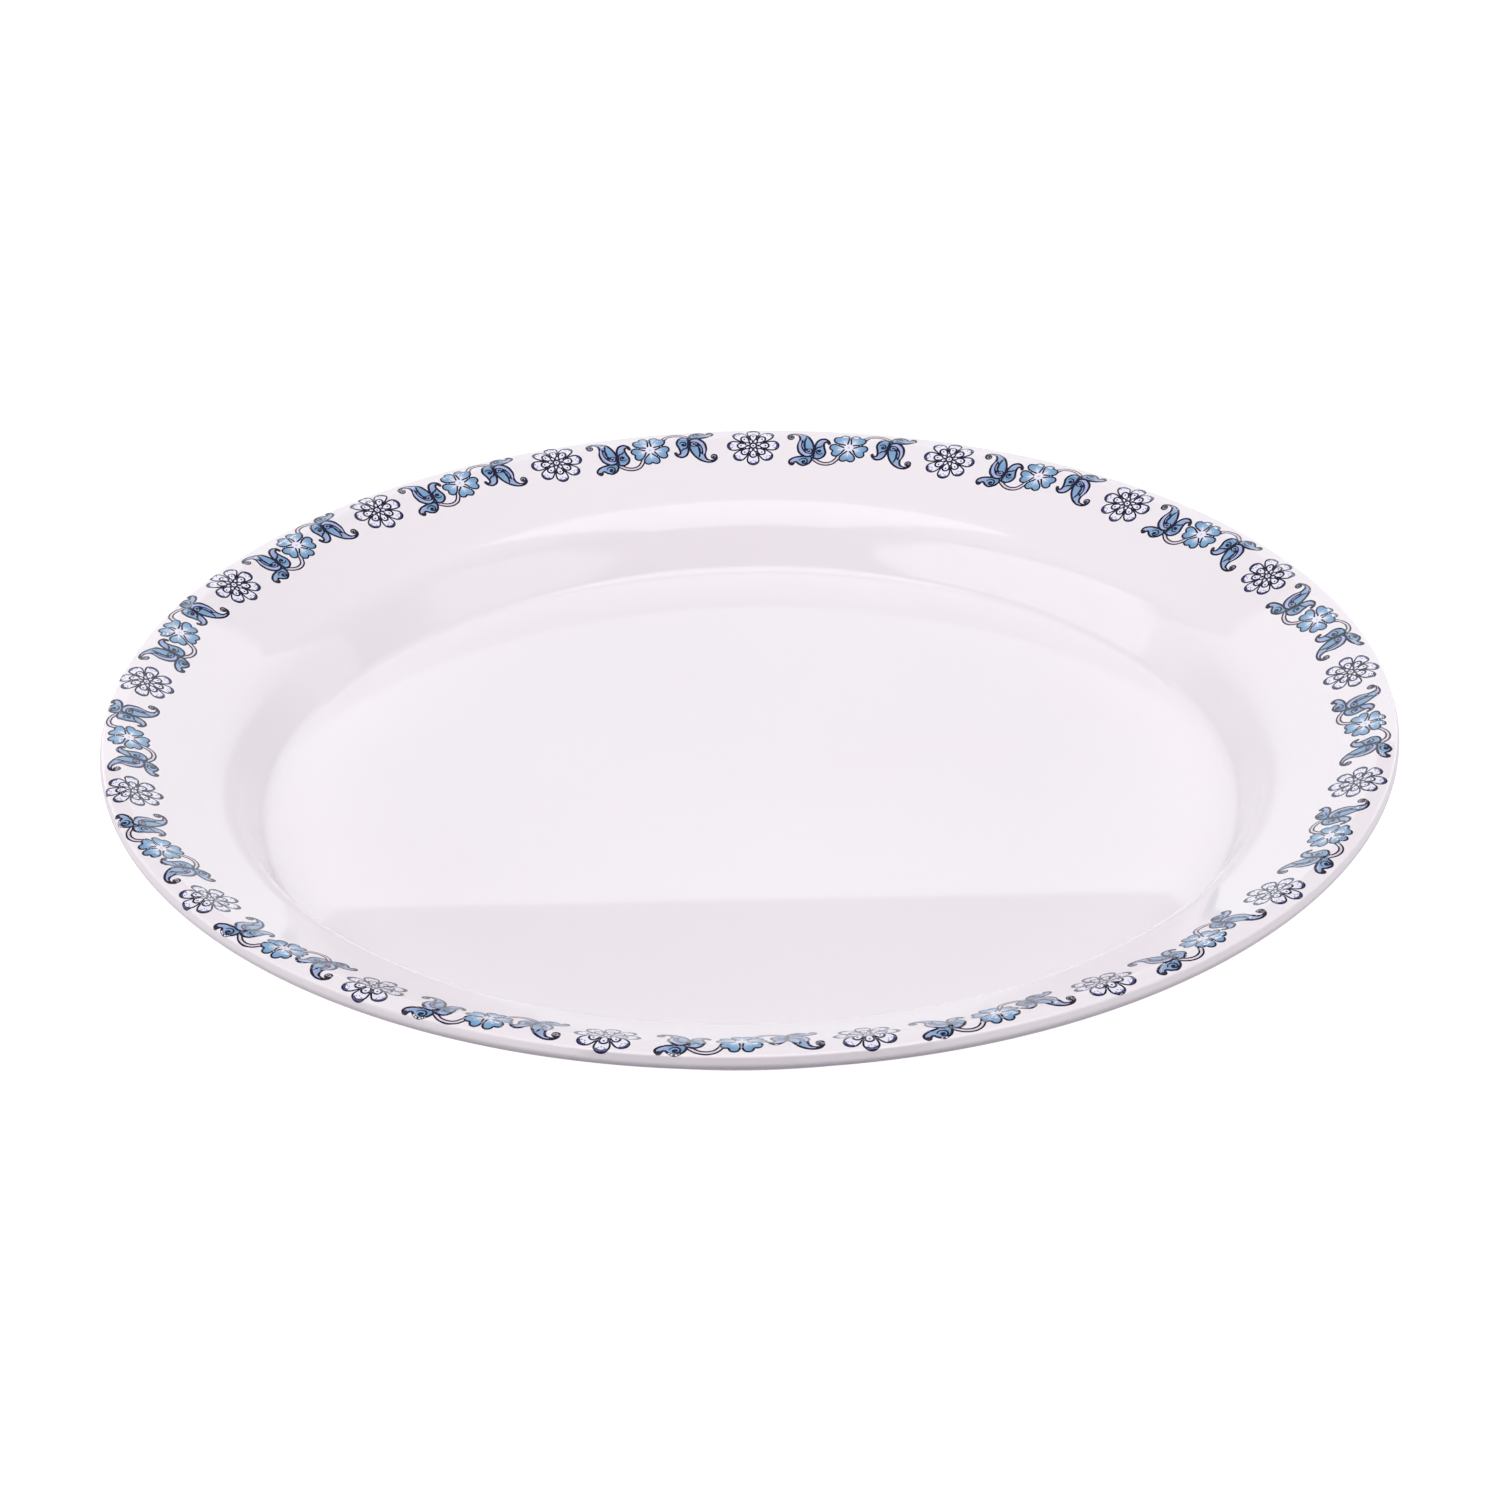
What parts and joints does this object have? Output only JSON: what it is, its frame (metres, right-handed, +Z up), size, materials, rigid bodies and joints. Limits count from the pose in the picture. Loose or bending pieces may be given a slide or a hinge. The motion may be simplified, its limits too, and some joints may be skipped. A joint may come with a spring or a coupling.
{
  "type": "serving platter",
  "caption": "Round glazed china serving platter with a sunken flat floor, sloping flange and printed blue flower border.",
  "frame": {"origin": "centre of the foot ring, on the surface the platter stands on", "axes": "+Z up along the platter's axis; +Y towards the back of the platter as it is seen on a table, +X to the right"},
  "size_m": [0.305, 0.305, 0.0321],
  "materials": {
    "bare_china": "matt, unglazed, slightly gritty",
    "glaze": "glossy clear glaze over pinkish lilac-white china",
    "indigo_print": "glossy fired print, indigo outlines on white petals",
    "blue_print": "glossy fired print, mid blue shading to lilac with near-black outlines",
    "stem_print": "glossy fired print, pinkish grey between dark lines"
  },
  "bodies": {
    "root": {"porcelain_body": "bare_china", "glaze_coat": "glaze", "foot_recess_glaze": "glaze", "rosette_prints": "indigo_print", "blossom_prints": "blue_print", "long_leaf_prints": "blue_print", "short_leaf_prints": "blue_print", "bud_prints": "blue_print", "stem_prints": "stem_print"}
  },
  "joints": []
}
